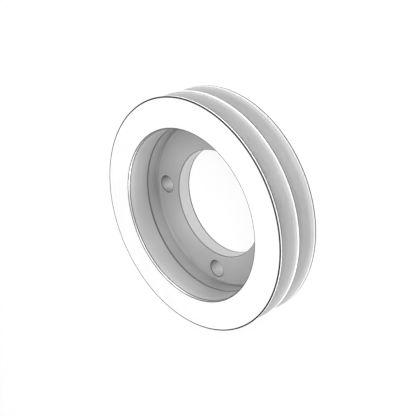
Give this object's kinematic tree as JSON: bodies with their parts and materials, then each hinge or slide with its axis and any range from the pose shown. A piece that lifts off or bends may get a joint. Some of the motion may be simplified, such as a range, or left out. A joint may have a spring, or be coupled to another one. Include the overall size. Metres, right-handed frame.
{
  "type": "belt pulley",
  "caption": "V belt pulley with side by side grooves in a wide rim, a deep front recess and a bored, flange mounted web.",
  "frame": {"origin": "centre of the rear mounting face, on the axis of the bore", "axes": "+Z along the shaft axis, from the mounting face to the open recess at the front; the bolt holes lie at 45 degrees to X and Y"},
  "size_m": [0.15, 0.15, 0.0365],
  "materials": {
    "pulley": "pale satin casting; rim, grooves, faces and bore fine turned with faint concentric tool marks, web left as cast"
  },
  "bodies": {
    "root": {"pulley": "pulley"}
  },
  "joints": []
}
